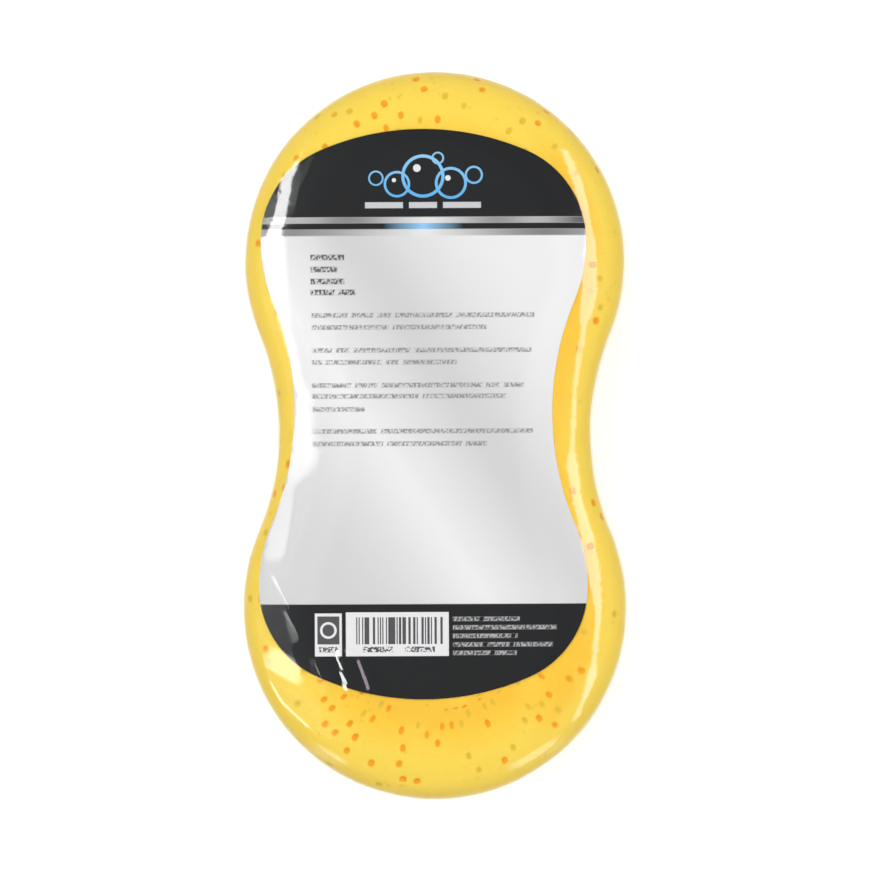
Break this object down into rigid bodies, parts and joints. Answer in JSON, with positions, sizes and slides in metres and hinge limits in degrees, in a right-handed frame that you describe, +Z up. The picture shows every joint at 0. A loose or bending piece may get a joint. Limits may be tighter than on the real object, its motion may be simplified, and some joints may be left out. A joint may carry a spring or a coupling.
{
  "type": "cleaning sponge",
  "caption": "Figure-eight foam washing sponge with a printed card on its upper face, shrink-wrapped in clear film, lying flat.",
  "frame": {"origin": "on the surface that the wrapped sponge lies on, below the middle of its outline", "axes": "+X across the sponge, +Y along it towards the card's domed upper end, +Z up through it to the printed face"},
  "size_m": [0.1112, 0.2102, 0.06],
  "materials": {
    "foam": "matte yellow open-cell foam with fine pores",
    "card": "satin printed card, silver-grey with black ends",
    "film": "clear gloss shrink film"
  },
  "bodies": {
    "root": {"foam_block": "foam", "printed_card": "card", "shrink_film": "film"}
  },
  "joints": []
}
